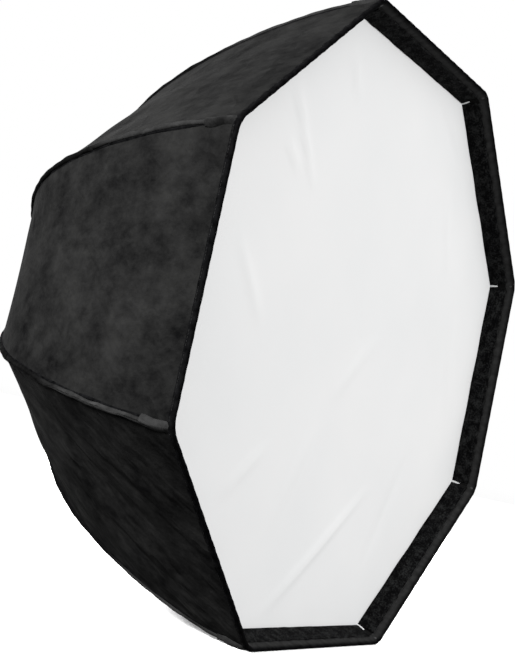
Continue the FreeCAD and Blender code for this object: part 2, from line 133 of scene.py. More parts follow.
# Zip
ZIP_PANEL = 6
ZIP_LENGTH = 0.218
ZIP_LEAD = 0.006
ZIP_CLOTH = 0.0006
ZIP_TEETH = 150
MILLIMETRE = 0.001
TOOTH_OUTLINE = ((-0.00055, -0.6), (0.00055, -0.6), (0.00045, 2.2), (-0.00045, 2.2))
TOOTH_HEIGHTS = (0.0009, 0.0021)
TOOTH_FACES = ((0, 1, 2, 3), (4, 7, 6, 5), (0, 4, 5, 1), (1, 5, 6, 2), (2, 6, 7, 3), (3, 7, 4, 0))

# The width that each band of the cover keeps when the frame is folded. The crown and the back
# are bands of one panel that gather unequally, and the lining is narrower than the cloth over it.
KEEP_SIDE = 0.178
KEEP_BACK = 0.34
KEEP_CROWN = 0.60
LINING_SHARE = 0.84
CROWN_BAND = 0.125

# How far either side of the shoulder the sleeves bend over
BEND_REACH = 0.028

# The panel's number is added to each seed
FOLD_SEED, SLEEVE_SEED, POCKET_SEED, LIP_SEED = 100, 300, 500, 700


# Shape helpers

def rib_angle(number):
    return radians(SIDE_DEGREES / 2 + SIDE_DEGREES * (number - 1))


def panel_angle(number):
    return radians(SIDE_DEGREES * number)


def along_cover(length):
    """(radius, depth, normal's angle) on the cover's rib line, at this length from the crown."""
    if length <= CROWN_LENGTH:
        turn = length / CROWN_ARC
        return CROWN_ARC * sin(turn), CROWN_CENTRE + CROWN_ARC * cos(turn), turn
    turn = BEND + (length - CROWN_LENGTH) / SIDE_ARC
    return SIDE_CENTRE[0] + SIDE_ARC * sin(turn), SIDE_CENTRE[1] + SIDE_ARC * cos(turn), turn


def placed(radial, depth, sideways, angle):
    """A point given by its distance along a direction from the shaft, its depth, and sideways."""
    return Vector((
        radial * cos(angle) - sideways * sin(angle),
        RIM_Y + depth,
        radial * sin(angle) + sideways * cos(angle)))


def smooth_step(low, high, value):
    share = min(max((value - low) / (high - low), 0.0), 1.0)
    return share * share * (3 - 2 * share)


def corner_pull(sideways, half_width):
    """How far a rounded corner lies inside the sharp one."""
    tangent = CORNER_ROUNDING * TAN_HALF
    past = abs(sideways) - (half_width - tangent)
    if past <= 0:
        return 0.0
    return CORNER_ROUNDING - sqrt(max(CORNER_ROUNDING ** 2 - past * past, 0.0))


def make_mesh(name, points, faces, material, smooth=True, cloth=None):
    """A mesh object. cloth holds each point's place on the flat cloth, for its weave."""
    mesh = bpy.data.meshes.new(name)
    mesh.from_pydata([tuple(point) for point in points], [], faces)
    mesh.update()
    mesh.shade_smooth() if smooth else mesh.shade_flat()
    if cloth:
        layer = mesh.attributes.new("cloth", "FLOAT_VECTOR", "POINT")
        layer.data.foreach_set("vector", [value for point in cloth for value in point])
    mesh.materials.append(material)
    made = bpy.data.objects.new(name, mesh)
    SCENE.collection.objects.link(made)
    return made


def quads(first, rows, columns, across, flip):
    """The faces of rows of points, across to a row. The last column may join the first."""
    faces = []
    for row in range(rows):
        for column in range(columns):
            after = (column + 1) % across
            a, b = first + row * across + column, first + row * across + after
            face = (a, b, b + across, a + across)
            faces.append(face[::-1] if flip else face)
    return faces


def grid(name, rows, columns, position, material, closed=False, flip=False):
    """A sheet of quads. position(row share, column share) gives a point and its place on the cloth."""
    points, cloth = [], []
    for row in range(rows + 1):
        for column in range(columns + (0 if closed else 1)):
            point, flat = position(row / rows, column / columns)
            points.append(point)
            cloth.append(flat)
    across = columns if closed else columns + 1
    return make_mesh(name, points, quads(0, rows, columns, across, flip), material, cloth=cloth)


INWARDS, OUTWARDS = -1.0, 1.0


def thicken(piece, thickness, offset=INWARDS):
    """Weighted normals keep the thick edges from shading as bands."""
    modifier = piece.modifiers.new("thickness", "SOLIDIFY")
    modifier.thickness = thickness
    modifier.offset = offset
    piece.modifiers.new("broad_faces_lead", "WEIGHTED_NORMAL")


# Materials

def material(name, colour, roughness, metallic=0.0, specular=0.5):
    """A plain material, and its nodes to add to."""
    made = bpy.data.materials.new(name)
    made.use_nodes = True
    shader = made.node_tree.nodes["Principled BSDF"]
    shader.inputs["Base Color"].default_value = (*colour, 1.0)
    shader.inputs["Roughness"].default_value = roughness
    shader.inputs["Metallic"].default_value = metallic
    shader.inputs["Specular IOR Level"].default_value = specular
    return made, Nodes(made)


def grey(value):
    return value, value, value


class Nodes:
    """Short names for the nodes of one material."""

    def __init__(self, made):
        self.tree = made.node_tree
        self.shader = self.tree.nodes["Principled BSDF"]

    def add(self, kind, **values):
        node = self.tree.nodes.new(kind)
        for name, value in values.items():
            setattr(node, name, value)
        return node

    def link(self, output, entry):
        self.tree.links.new(output, entry)

    def cloth(self):
        return self.add("ShaderNodeAttribute", attribute_name="cloth").outputs["Vector"]

    def place(self):
        return self.add("ShaderNodeTexCoord").outputs["Object"]

    def noise(self, vector, scale, detail=3.0, roughness=0.5, stretch=None):
        node = self.add("ShaderNodeTexNoise")
        for entry, value in (("Scale", scale), ("Detail", detail), ("Roughness", roughness)):
            node.inputs[entry].default_value = value
        if stretch:
            scaled = self.add("ShaderNodeVectorMath", operation="MULTIPLY")
            self.link(vector, scaled.inputs[0])
            scaled.inputs[1].default_value = stretch
            vector = scaled.outputs[0]
        self.link(vector, node.inputs["Vector"])
        return node.outputs["Fac"]

    def turned(self, vector, angle):
        """The same place measured along lines that lean across the cloth."""
        node = self.add("ShaderNodeVectorRotate", rotation_type="Z_AXIS")
        node.inputs["Angle"].default_value = angle
        self.link(vector, node.inputs["Vector"])
        return node.outputs[0]

    def crease_lines(self, vector, scale):
        """Wandering ridges, as where cloth has been folded: 1 on a ridge and 0 beside it."""
        clouds = self.noise(vector, scale, roughness=0.55, stretch=(1.0, 0.35, 1.0))
        middle = self.math("SUBTRACT", clouds, 0.5)
        near = self.math("MULTIPLY", self.math("ABSOLUTE", middle, 0.0), 9.0)
        return self.math("SUBTRACT", 1.0, self.math("MINIMUM", near, 1.0))

    def length_along(self):
        """The cloth's own Y, in metres: along the cover from its centre, or across a tape."""
        node = self.add("ShaderNodeSeparateXYZ")
        self.link(self.cloth(), node.inputs[0])
        return node.outputs["Y"]

    def wave(self, vector, scale, distortion):
        node = self.add("ShaderNodeTexWave", wave_type="BANDS", bands_direction="X")
        node.inputs["Scale"].default_value = scale
        node.inputs["Distortion"].default_value = distortion
        node.inputs["Detail Scale"].default_value = 2.0
        self.link(vector, node.inputs["Vector"])
        return node.outputs["Fac"]

    def math(self, operation, first, second):
        node = self.add("ShaderNodeMath", operation=operation)
        for entry, value in zip(node.inputs, (first, second)):
            if isinstance(value, (int, float)):
                entry.default_value = value
            else:
                self.link(value, entry)
        return node.outputs[0]

    def ramp(self, value, stops):
        """A colour between two stops, each a (place, colour)."""
        node = self.add("ShaderNodeValToRGB")
        for element, (place, colour) in zip(node.color_ramp.elements, stops):
            element.position = place
            element.color = (*colour, 1.0)
        self.link(value, node.inputs["Fac"])
        return node.outputs["Color"]

    def mix(self, share, first, second):
        node = self.add("ShaderNodeMix", data_type="RGBA")
        factor, first_colour, second_colour, mixed_colour = 0, 6, 7, 2
        self.link(share, node.inputs[factor])
        self.link(first, node.inputs[first_colour])
        self.link(second, node.inputs[second_colour])
        return node.outputs[mixed_colour]

    def colour(self, output):
        self.link(output, self.shader.inputs["Base Color"])

    def roughness(self, value, low, high):
        node = self.add("ShaderNodeMapRange")
        node.inputs["To Min"].default_value = low
        node.inputs["To Max"].default_value = high
        self.link(value, node.inputs["Value"])
        self.link(node.outputs[0], self.shader.inputs["Roughness"])

    def bump(self, height, distance, strength, under=None):
        node = self.add("ShaderNodeBump")
        node.inputs["Distance"].default_value = distance
        node.inputs["Strength"].default_value = strength
        self.link(height, node.inputs["Height"])
        if under:
            self.link(under, node.inputs["Normal"])
        self.link(node.outputs["Normal"], self.shader.inputs["Normal"])
        return node.outputs["Normal"]


def weave(nodes, scale=1500.0):
    """Warp and weft threads, one over the other, each a little uneven."""
    cloth = nodes.cloth()
    warp = nodes.noise(cloth, scale, detail=1.0, roughness=0.4, stretch=(1.0, 0.06, 1.0))
    weft = nodes.noise(cloth, scale, detail=1.0, roughness=0.4, stretch=(0.06, 1.0, 1.0))
    return nodes.math("MAXIMUM", warp, weft)


def nylon_material(name, dark, light, roughness=(0.42, 0.58)):
    """Coated woven nylon: fine threads, soft cloudy creases, and a low sheen."""
    made, nodes = material(name, dark, 0.5, specular=0.0026)
    cloth = nodes.cloth()
    clouds = nodes.noise(cloth, 14.0, detail=5.0, roughness=0.6)
    streaks = nodes.noise(cloth, 60.0, detail=5.0, roughness=0.75, stretch=(1.0, 0.55, 1.0))
    mixed = nodes.math("MULTIPLY", nodes.math("ADD", clouds, streaks), 0.5)
    nodes.colour(nodes.ramp(mixed, [(0.36, dark), (0.64, light)]))
    nodes.roughness(streaks, *roughness)
    threads = nodes.bump(weave(nodes), 0.00015, 0.5)
    slanted = nodes.turned(cloth, 0.7)
    swells = nodes.noise(slanted, 14.0, stretch=(1.0, 0.4, 1.0))
    soft = nodes.bump(swells, 0.014, 0.85, threads)
    ridges = nodes.crease_lines(slanted, 19.0)
    sharp = nodes.bump(ridges, 0.0022, 0.8, soft)
    nodes.bump(nodes.noise(cloth, 75.0, roughness=0.6), 0.0012, 0.8, sharp)
    return made


def sleeve_material():
    """The sleeves' nylon: near-black over the crown and the bend, as painted shade, and paler in front of
    it, as painted light.
    """
    made = nylon_material("sleeve_nylon", grey(0.004), grey(0.022), (0.40, 0.52))
    nodes = Nodes(made)
    paler = nodes.shader.inputs["Base Color"].links[0].from_socket
    # Painted shade and light: near-black from the crown to just past the bend, and the paler nylon in
    # front of it.
    front = nodes.ramp(nodes.length_along(), [(0.46, grey(0.0)), (0.52, grey(1.0))])
    flecks = nodes.noise(nodes.cloth(), 120.0)
    black = nodes.ramp(flecks, [(0.3, grey(0.0010)), (0.7, grey(0.0028))])
    nodes.colour(nodes.mix(front, black, paler))
    return made


def silver_material():
    """Metallised lining cloth, with the fine grain that scatters the light."""
    made, nodes = material("silver_lining", (0.74, 0.75, 0.77), 0.34, metallic=0.85)
    cloth = nodes.cloth()
    grain = nodes.noise(cloth, 900.0, detail=2.0, roughness=0.6)
    clouds = nodes.noise(cloth, 14.0, detail=4.0, roughness=0.6)
    nodes.colour(nodes.ramp(clouds, [(0.3, (0.66, 0.67, 0.69)), (0.7, (0.80, 0.81, 0.82))]))
    nodes.roughness(clouds, 0.28, 0.42)
    fine = nodes.bump(grain, 0.0002, 0.6)
    nodes.bump(nodes.noise(cloth, 45.0, detail=4.0, roughness=0.6), 0.0012, 0.5, fine)
    return made


def binding_material(name, light_from=None):
    """Black grosgrain tape: ribs across its width. Past light_from, across it, it is paler."""
    made, nodes = material(name, grey(0.0012), 0.7, specular=0.002)
    cloth = nodes.cloth()
    ribs = nodes.wave(cloth, 260.0, 0.3)
    flecks = nodes.noise(cloth, 120.0)
    black = nodes.ramp(flecks, [(0.3, (0.0010, 0.0010, 0.0011)), (0.7, (0.0042, 0.0042, 0.0045))])
    if light_from:
        pale = nodes.ramp(flecks, [(0.3, grey(0.018)), (0.7, grey(0.034))])
        stops = [(light_from, grey(0.0)), (light_from + 0.0015, grey(1.0))]
        black = nodes.mix(nodes.ramp(nodes.length_along(), stops), black, pale)
    nodes.colour(black)
    nodes.roughness(ribs, 0.6, 0.8)
    nodes.bump(ribs, 0.00025, 0.7)
    return made


def fuzzy_material(name, dark, light):
    """The napped face of hook-and-loop tape."""
    made, nodes = material(name, dark, 0.95, specular=0.03)
    cloth = nodes.cloth()
    tufts = nodes.noise(cloth, 420.0, roughness=0.7)
    patches = nodes.noise(cloth, 90.0, detail=4.0, roughness=0.65)
    mixed = nodes.math("MULTIPLY", nodes.math("ADD", tufts, patches), 0.5)
    nodes.colour(nodes.ramp(mixed, [(0.47, dark), (0.60, light)]))
    rough = nodes.bump(tufts, 0.0009, 0.9)
    nodes.bump(patches, 0.0012, 0.5, rough)
    return made


def diffuser_material():
    """White diffusion cloth: close even weave, and faint fold lines from its bag."""
    made, nodes = material("diffuser_cloth", (0.74, 0.745, 0.75), 0.75, specular=0.15)
    cloth = nodes.cloth()
    clouds = nodes.noise(cloth, 5.0)
    nodes.colour(nodes.ramp(clouds, [(0.3, (0.655, 0.66, 0.662)), (0.7, grey(0.685))]))
    nodes.roughness(clouds, 0.66, 0.78)
    threads = nodes.bump(weave(nodes, 1900.0), 0.00008, 0.4)
    nodes.bump(nodes.noise(cloth, 30.0), 0.0005, 0.3, threads)
    return made


def steel_material(name, colour, roughness):
    """Drawn or plated steel, with fine lines and small stains."""
    made, nodes = material(name, colour, roughness, metallic=1.0)
    place = nodes.place()
    lines = nodes.noise(place, 1500.0, detail=2.0, roughness=0.6, stretch=(1.0, 0.04, 1.0))
    stains = nodes.noise(place, 60.0, detail=4.0, roughness=0.6)
    low = tuple(0.8 * value for value in colour)
    nodes.colour(nodes.ramp(stains, [(0.35, low), (0.65, colour)]))
    nodes.roughness(lines, roughness * 0.8, min(roughness * 1.4, 1.0))
    nodes.bump(lines, 0.00005, 0.4)
    return made


def coated_material(name, colour, roughness):
    """Black coating or moulded nylon: slight orange peel, rubbed a little paler on its high spots."""
    made, nodes = material(name, colour, roughness)
    place = nodes.place()
    peel = nodes.noise(place, 900.0, roughness=0.6)
    wear = nodes.noise(place, 45.0, detail=5.0, roughness=0.7)
    pale = tuple(min(value * 2.4 + 0.01, 1.0) for value in colour)
    nodes.colour(nodes.ramp(wear, [(0.55, colour), (0.8, pale)]))
    nodes.roughness(wear, roughness * 0.85, min(roughness * 1.25, 1.0))
    nodes.bump(peel, 0.00008, 0.5)
    return made


def thread_material():
    made, nodes = material("thread", grey(0.008), 0.6, specular=0.05)
    place = nodes.place()
    twist = nodes.noise(place, 1800.0, detail=2.0, roughness=0.5)
    nodes.colour(nodes.ramp(twist, [(0.3, grey(0.004)), (0.7, grey(0.013))]))
    nodes.bump(twist, 0.0001, 0.6)
    return made


NYLON = nylon_material("cover_nylon", (0.0020, 0.0020, 0.0021), (0.0110, 0.0110, 0.0108))
SLEEVE = sleeve_material()
SILVER = silver_material()
BINDING = binding_material("binding_tape")
RIM_TAPE = binding_material("rim_tape", 0.0125)
FUZZY = fuzzy_material("hook_tape_back", (0.0020, 0.0020, 0.0022), (0.0190, 0.0195, 0.0195))
LOOP = fuzzy_material("loop_tape", grey(0.0020), grey(0.0160))
DIFFUSER = diffuser_material()
THREAD = thread_material()
ROD = coated_material("rod_coating", (0.018, 0.018, 0.019), 0.42)
STEEL = steel_material("plated_steel", (0.62, 0.62, 0.64), 0.26)
TUBE = steel_material("drawn_tube", (0.56, 0.56, 0.58), 0.34)
PLASTIC = coated_material("moulded_nylon", (0.014, 0.014, 0.015), 0.55)


# Cover

def folds_for(number):
    """The soft folds of one panel: a start and an end on the cloth, as (length, sideways), a width
    and a height. Six lean in from the rim's corners, and nine lie anywhere."""
    chance = random.Random(FOLD_SEED + number)
    rim = TOTAL_LENGTH
    folds = []
    for side in (-1, 1):
        for reach in (0.10, 0.19, 0.30):
            start = (rim - chance.uniform(0.035, 0.055), side * chance.uniform(0.128, 0.136))
            end = (
                rim - chance.uniform(0.6, 1.0) * reach - 0.08,
                side * (0.13 - reach * chance.uniform(0.35, 0.7)))
            folds.append((start, end, chance.uniform(0.007, 0.016), chance.uniform(-0.0011, 0.0011)))
    for _ in range(9):
        start = (chance.uniform(0.22, rim - 0.05), chance.uniform(-0.12, 0.12))
        lean = chance.uniform(-0.7, 0.7)
        span = chance.uniform(0.12, 0.30)
        end = (start[0] - span, start[1] + span * lean * 0.6)
        folds.append((start, end, chance.uniform(0.012, 0.034), chance.uniform(-0.0018, 0.0018)))
    return folds


FOLDS = {number: folds_for(number) for number in SIDES}

# The three panels in view have the photograph's larger folds as well
LOWER_LEFT, LEFT, UPPER_LEFT = 5, 4, 3
FOLDS[LOWER_LEFT] += [
    ((0.66, 0.10), (0.33, -0.06), 0.010, 0.0045),
    ((0.65, 0.04), (0.36, -0.10), 0.011, -0.0042),
    ((0.67, -0.03), (0.42, -0.13), 0.009, 0.0040),
    ((0.60, 0.12), (0.27, 0.01), 0.012, 0.0038)]
FOLDS[LEFT] += [
    ((0.66, 0.115), (0.40, 0.02), 0.020, 0.0016),
    ((0.655, -0.11), (0.45, -0.02), 0.018, -0.0014),
    ((0.67, 0.125), (0.56, 0.085), 0.008, 0.0012)]
FOLDS[UPPER_LEFT] += [
    ((0.68, -0.09), (0.38, 0.05), 0.018, 0.0018),
    ((0.64, 0.02), (0.34, 0.09), 0.016, -0.0016),
    ((0.67, 0.09), (0.47, -0.02), 0.022, 0.0014)]


def beside_line(first, second, start, end):
    """How far along a line a place is, as a share of it, and its squared distance from it."""
    run = (end[0] - start[0], end[1] - start[1])
    span = run[0] ** 2 + run[1] ** 2
    share = ((first - start[0]) * run[0] + (second - start[1]) * run[1]) / span
    return share, (first - start[0] - share * run[0]) ** 2 + (second - start[1] - share * run[1]) ** 2


def fold_height(folds, length, sideways):
    """How far the folds lift or sink the cloth at this place on it."""
    total = 0.0
    for start, end, width, height in folds:
        share, off = beside_line(length, sideways, start, end)
        if 0 < share < 1:
            total += height * sin(pi * share) ** 0.7 * exp(-off / (2 * width * width))
    return total


def cloth_lift(number, length, share):
    """How far the panel stands off its straight chords. It sinks between the ribs, folds, puckers
    along the ribs and the rim, and dips at the hem's seam."""
    radius, depth, _ = along_cover(length)
    half_width = radius * SIN_HALF
    sideways = share * half_width
    sag = -0.0022 * (1 - share * share) * smooth_step(0.0, 0.16, depth) * smooth_step(0.0, 0.12, length)
    edge = half_width - abs(sideways)
    pinned = smooth_step(0.0, 0.016, edge) * smooth_step(0.0, 0.012, TOTAL_LENGTH - length)
    uneven = 0.5 + 0.5 * sin(length * 23 + number) * sin(length * 41 + number * share)
    ripple = sin(length * 300 + 9 * sin(length * 31) + number * share)
    puckers = 0.0004 * uneven * exp(-edge / 0.015) * ripple
    near_rim = exp(-depth / 0.020)
    puckers += 0.0005 * near_rim * sin(sideways * 260 + number * 2.3)
    puckers += 0.0003 * near_rim * sin(sideways * 510 + number * 0.9)
    seam = exp(-((depth - HEM_SEAM_DEPTH) / 0.0012) ** 2)
    hem_line = -0.00045 * seam * smooth_step(0.0, 0.02, edge)
    return sag + pinned * (fold_height(FOLDS[number], length, sideways) + puckers) + hem_line


def rounded_side(number, radius, depth, share, out=0.0, back=0.0):
    """A point across one side of the octagon, with its rounded corners, from a rib-plane point.
    share runs from -1 at one rib to 1 at the next."""
    half_width = radius * SIN_HALF
    sideways = share * half_width
    rounding = corner_pull(sideways, half_width) * smooth_step(ROUNDED_DEPTH, 0.0, depth)
    scale = 1 - rounding * TAN_HALF / half_width * abs(share)
    radial = radius * COS_HALF + out - rounding
    return placed(radial, depth + back, sideways * scale, panel_angle(number))


def panel_point(number, length, share, inset):
    """A point of a cover panel, or of its lining, which is inset."""
    radius, depth, turn = along_cover(length)
    lift = cloth_lift(number, length, share) - inset
    return rounded_side(number, radius, depth, share, sin(turn) * lift, cos(turn) * lift)


def panel_piece(name, number, start, end, inset, rows, columns, made):
    def position(row, column):
        length = start + (end - start) * row
        share = 2 * column - 1
        point = panel_point(number, length, share, inset)
        return point, (share * along_cover(length)[0] * SIN_HALF, length, number * 3.1)
    return grid(name, rows, columns, position, made, flip=True)


def with_cover(piece, body, number):
    """The piece rides on the cover, with a mesh of its own."""
    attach(piece, "%s_%d" % (body, number))
    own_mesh(piece)


def cover_panels():
    """The cover's panels and their lining, in three bands."""
    stretches = [
        ("crown", "gore_back", EYE_LENGTH, CROWN_BAND, 20, KEEP_CROWN),
        ("back", "gore_back", CROWN_BAND, SHOULDER_LENGTH, 32, KEEP_BACK),
        ("side", "gore_side", SHOULDER_LENGTH, TOTAL_LENGTH, 74, KEEP_SIDE)]
    columns = 56
    for number in SIDES:
        for word, body, start, end, rows, keep in stretches:
            outside = panel_piece(
                "cover_%s_%d" % (word, number), number, start, end, 0.0, rows, columns, NYLON)
            thicken(outside, CLOTH)
            inside = panel_piece(
                "lining_%s_%d" % (word, number), number, start, end, LINING_INSET,
                rows // 2, columns // 2, SILVER)
            thicken(inside, LINING_CLOTH)
            for piece, slot, share in (
                    (outside, "cover_fabric", 1.0), (inside, "silver_lining", LINING_SHARE)):
                with_cover(piece, body, number)
            if word != "crown":
                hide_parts("%s_%d" % (body, number))


# Ribs' sleeves, seams and pockets

def rib_point(number, length, out, sideways):
    """A point beside the rib line, out along the rib plane's normal and sideways round the shaft."""
    radius, depth, turn = along_cover(length)
    radius -= corner_pull(1.0, 1.0) / COS_HALF * smooth_step(ROUNDED_DEPTH, 0.0, depth)
    return placed(radius + sin(turn) * out, depth + cos(turn) * out, sideways, rib_angle(number))


def with_rib(piece, number):
    """The piece's place is baked into its mesh."""
    before = rib_point(number, SHOULDER_LENGTH - BEND_REACH, 0, 0)
    after = rib_point(number, SHOULDER_LENGTH + BEND_REACH, 0, 0)
    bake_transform(piece)


def sleeve(number):
    """The cloth tube that the rib runs in, proud of the seam."""
    chance = random.Random(SLEEVE_SEED + number)
    phases = [chance.uniform(0, 6.28) for _ in range(4)]
    start, end = SLEEVE_START, TOTAL_LENGTH - POCKET_LENGTH + SLEEVE_OVERLAP

    def position(row, column):
        length = start + (end - start) * row
        angle = 2 * pi * column
        swell = 1 + 0.07 * sin(length * 95 + phases[0]) + 0.05 * sin(length * 231 + phases[1])
        swell *= 0.55 + 0.45 * smooth_step(0.0, 0.03, length - start)
        radius = SLEEVE_RADIUS * swell * (1 - 0.22 * smooth_step(0.40, 0.50, length))
        twist = 0.0005 * sin(length * 61 + phases[2]) + 0.0003 * sin(length * 143 + phases[3])
        out = 0.0002 + radius * 1.05 * cos(angle)
        point = rib_point(number, length, out, twist + radius * 1.12 * sin(angle))
        return point, (angle * radius, length, number * 2.3)

    tube = grid("rib_sleeve_%d" % number, RIB_ROWS, 16, position, SLEEVE, closed=True, flip=True)
    with_rib(tube, number)


def seam_and_shade_lines(number):
    """The seam allowance down each side of a sleeve, in near-black tape: partly the seam itself, partly
    painted shade along the sleeve's edges.
    """
    start, end = SLEEVE_START, TOTAL_LENGTH - SEAM_END
    points, cloth, faces = [], [], []
    for side in (-1, 1):
        first = len(points)
        for row in range(RIB_ROWS + 1):
            length = start + (end - start) * row / RIB_ROWS
            wander = 0.00035 * sin(length * 77 + number * side)
            narrow = 0.6 + 0.4 * smooth_step(0.0, 0.05, length - start)
            for off, out in ((0.0026, -0.0001), (0.0040 + wander, 0.0003), (0.0058 + wander, -0.0012)):
                raised = out - off * TAN_HALF * 0.92 + 0.0012
                points.append(rib_point(number, length, raised, side * off * narrow))
                cloth.append((off, length, side))
        faces += quads(first, RIB_ROWS, 2, 3, side < 0)
    # Near-black strips: the seam, darkened as painted shade along both edges of the sleeve.
    made = make_mesh("rib_seam_and_shade_%d" % number, points, faces, BINDING, cloth=cloth)
    thicken(made, SEAM_CLOTH)
    with_rib(made, number)


def stitches(name, path, count, size, made):
    """A row of thread stitches. path(share) gives a place, the direction along, and the way out."""
    points, faces = [], []
    length, width, height = size
    for index in range(count):
        place, along, out = path((index + 0.5) / count)
        across = along.cross(out).normalized()
        first = len(points)
        for end in (-0.5, 0.5):
            for side, rise in STITCH_SECTION:
                middle = place + along * (end * length)
                points.append(middle + across * (side * width) + out * (rise * height))
        for tip in (-STITCH_TIP, STITCH_TIP):
            points.append(place + along * (tip * length) - out * (STITCH_SUNK * height))
        sides = len(STITCH_SECTION)
        far, near_tip, far_tip = first + sides, first + 2 * sides, first + 2 * sides + 1
        turns = [(column, (column + 1) % sides) for column in range(sides)]
        for column, after in turns:
            faces.append((first + column, first + after, far + after, far + column))
        for column, after in turns:
            faces.append((near_tip, first + after, first + column))
            faces.append((far_tip, far + column, far + after))
    return make_mesh(name, points, faces, made, smooth=False)


def outward(radial, depth, angle):
    """The unit direction with these parts along a direction from the shaft and in depth."""
    return (placed(radial, depth, 0, angle) - Vector((0, RIM_Y, 0))).normalized()


def direction_along(point_at, share, step=0.002):
    return (point_at(min(share + step, 1.0)) - point_at(max(share - step, 0.0))).normalized()


def pocket(number):
    """The doubled patch at the front corner that takes the rib's tip."""
    chance = random.Random(POCKET_SEED + number)
    phase = chance.uniform(0, 6.28)
    start, end = TOTAL_LENGTH - POCKET_LENGTH, TOTAL_LENGTH - POCKET_END

    def position(row, column):
        length = start + (end - start) * row
        across = 2 * column - 1
        mouth = exp(-((row - 0.20) / 0.07) ** 2)
        flare = 1 - 0.12 * exp(-(row / 0.20) ** 2)
        closing = smooth_step(1.0, 0.86, row)
        rise = 0.0028 - 0.0004 * mouth + 0.0003 * sin(length * 170 + phase)
        crown = (1 - abs(across) ** 3.0) * rise
        crown = crown * closing + 0.0006 * (1 - closing)
        half = POCKET_HALF_WIDTH * flare * (1 + 0.05 * sin(length * 230 + phase + across))
        skew = 0.0012 * sin(length * 130 + phase) * (1 - row)
        pucker = 0.0003 * exp(-((row - 0.16) / 0.1) ** 2) * sin(across * 9 + phase)
        drop = abs(across) * half * TAN_HALF
        out = 0.0009 + crown + pucker * closing - drop
        return rib_point(number, length, out, across * half + skew), (across * half, length, number * 1.9)

    patch = grid("tip_pocket_%d" % number, 48, 26, position, SLEEVE, flip=True)
    thicken(patch, POCKET_CLOTH)
    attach(patch, "rib_outer_%d" % number)

    margin, inside_edge, on_top = 0.003, 0.0013, 0.0011 + 0.0012

    def stitched_length(share):
        return start + margin + (end - start - 2 * margin) * share

    def edge(side):
        off = side * (POCKET_HALF_WIDTH - inside_edge)

        def at(share):
            return rib_point(number, stitched_length(share), on_top - abs(off) * TAN_HALF, off)

        def path(share):
            _, _, turn = along_cover(stitched_length(share))
            out = outward(sin(turn), cos(turn), rib_angle(number))
            return at(share), direction_along(at, share), out

        return path

    for side, word in ((-1, "a"), (1, "b")):
        name = "pocket_stitch_%s_%d" % (word, number)
        row = stitches(name, edge(side), POCKET_STITCHES, POCKET_STITCH, THREAD)
        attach(row, "rib_outer_%d" % number)


# Front rim

# The lip in the rib plane, as (radius, depth): its front and back edges, and its directions
LIP_INSIDE_RIM = 0.0030
LIP_FRONT = ((RIM_APOTHEM - LIP_INSIDE_RIM) / COS_HALF, 0.002)
LIP_BACK = (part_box("diffuser")[1].x / COS_HALF + 0.0009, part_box("diffuser")[0].y - RIM_Y)
LIP_RUN = hypot(LIP_BACK[0] - LIP_FRONT[0], LIP_BACK[1] - LIP_FRONT[1])
LIP_ALONG = ((LIP_BACK[0] - LIP_FRONT[0]) / LIP_RUN, (LIP_BACK[1] - LIP_FRONT[1]) / LIP_RUN)
LIP_INWARD = (-LIP_ALONG[1], LIP_ALONG[0])


def lip_section(distance, inward):
    """A rib-plane point on the lip, this far from its front edge and this far off its face."""
    return (
        LIP_FRONT[0] + LIP_ALONG[0] * distance + LIP_INWARD[0] * inward,
        LIP_FRONT[1] + LIP_ALONG[1] * distance + LIP_INWARD[1] * inward)


def binding_section():
    """The rim tape seen from its end: up the outside, round the edge, and down the lip."""
    outer = []
    last_step = 4
    for step in range(last_step + 1):
        length = TOTAL_LENGTH - BINDING_OUTSIDE * (1 - step / last_step)
        radius, depth, turn = along_cover(length)
        swell = BINDING_OUT * (0.55 if step == 0 else 1.0)
        outer.append((radius + sin(turn) * swell, depth + cos(turn) * swell))
    inner_stops = ((0.0, 0.0007), (0.35, 0.0007), (0.7, 0.0007), (1.0, 0.0003))
    inner = [lip_section(BINDING_WIDTH * share, raised) for share, raised in inner_stops]
    front, back = outer[-1], inner[0]
    middle = ((front[0] + back[0]) / 2, min(front[1], back[1]) - 0.0016)
    turn_points = [
        ((front[0] * 2 + middle[0]) / 3, (front[1] + middle[1] * 2) / 3),
        middle,
        ((back[0] * 2 + middle[0]) / 3, (back[1] + middle[1] * 2) / 3)]
    return outer + turn_points + inner


def along_outline(outline, share):
    """The point at this share of an outline's corners."""
    place = share * (len(outline) - 1)
    index = min(int(place), len(outline) - 2)
    rest = place - index
    a, b = outline[index], outline[index + 1]
    return (a[0] + (b[0] - a[0]) * rest, a[1] + (b[1] - a[1]) * rest)


def rim_binding(number):
    """The tape folded round the rim's edge, with a row of stitches on each face."""
    outline = binding_section()

    def position(row, column):
        radius, depth = along_outline(outline, row)
        share = 2 * column - 1
        point = rounded_side(number, radius, depth, share)
        ripple = 0.00022 * sin(share * 46 + number) + 0.00012 * sin(share * 113 + row * 3)
        point = point + (point - Vector((0, point.y, 0))).normalized() * ripple
        return point, (share * radius * SIN_HALF, row * 0.02, number * 0.7)

    piece = grid("rim_binding_%d" % number, (len(outline) - 1) * 2, 110, position, RIM_TAPE)
    thicken(piece, BINDING_CLOTH, OUTWARDS)
    with_cover(piece, "gore_side", number)
    for word, across_outline in RIM_STITCH_ROWS:
        radius, depth = along_outline(outline, across_outline)
        angle = panel_angle(number)
        if word == "outside":
            out = placed(1, 0, 0, angle) - Vector((0, RIM_Y, 0))
        else:
            out = outward(*LIP_INWARD, angle)

        def path(share, radius=radius, depth=depth, out=out):
            def at(value):
                place = rounded_side(number, radius, depth, (2 * value - 1) * STITCHED_SHARE)
                return place + out * STITCH_RAISED
            return at(share), direction_along(at, share), out

        name = "rim_stitch_%s_%d" % (word, number)
        row = stitches(name, path, RIM_STITCHES, RIM_STITCH, THREAD)
        with_cover(row, "gore_side", number)


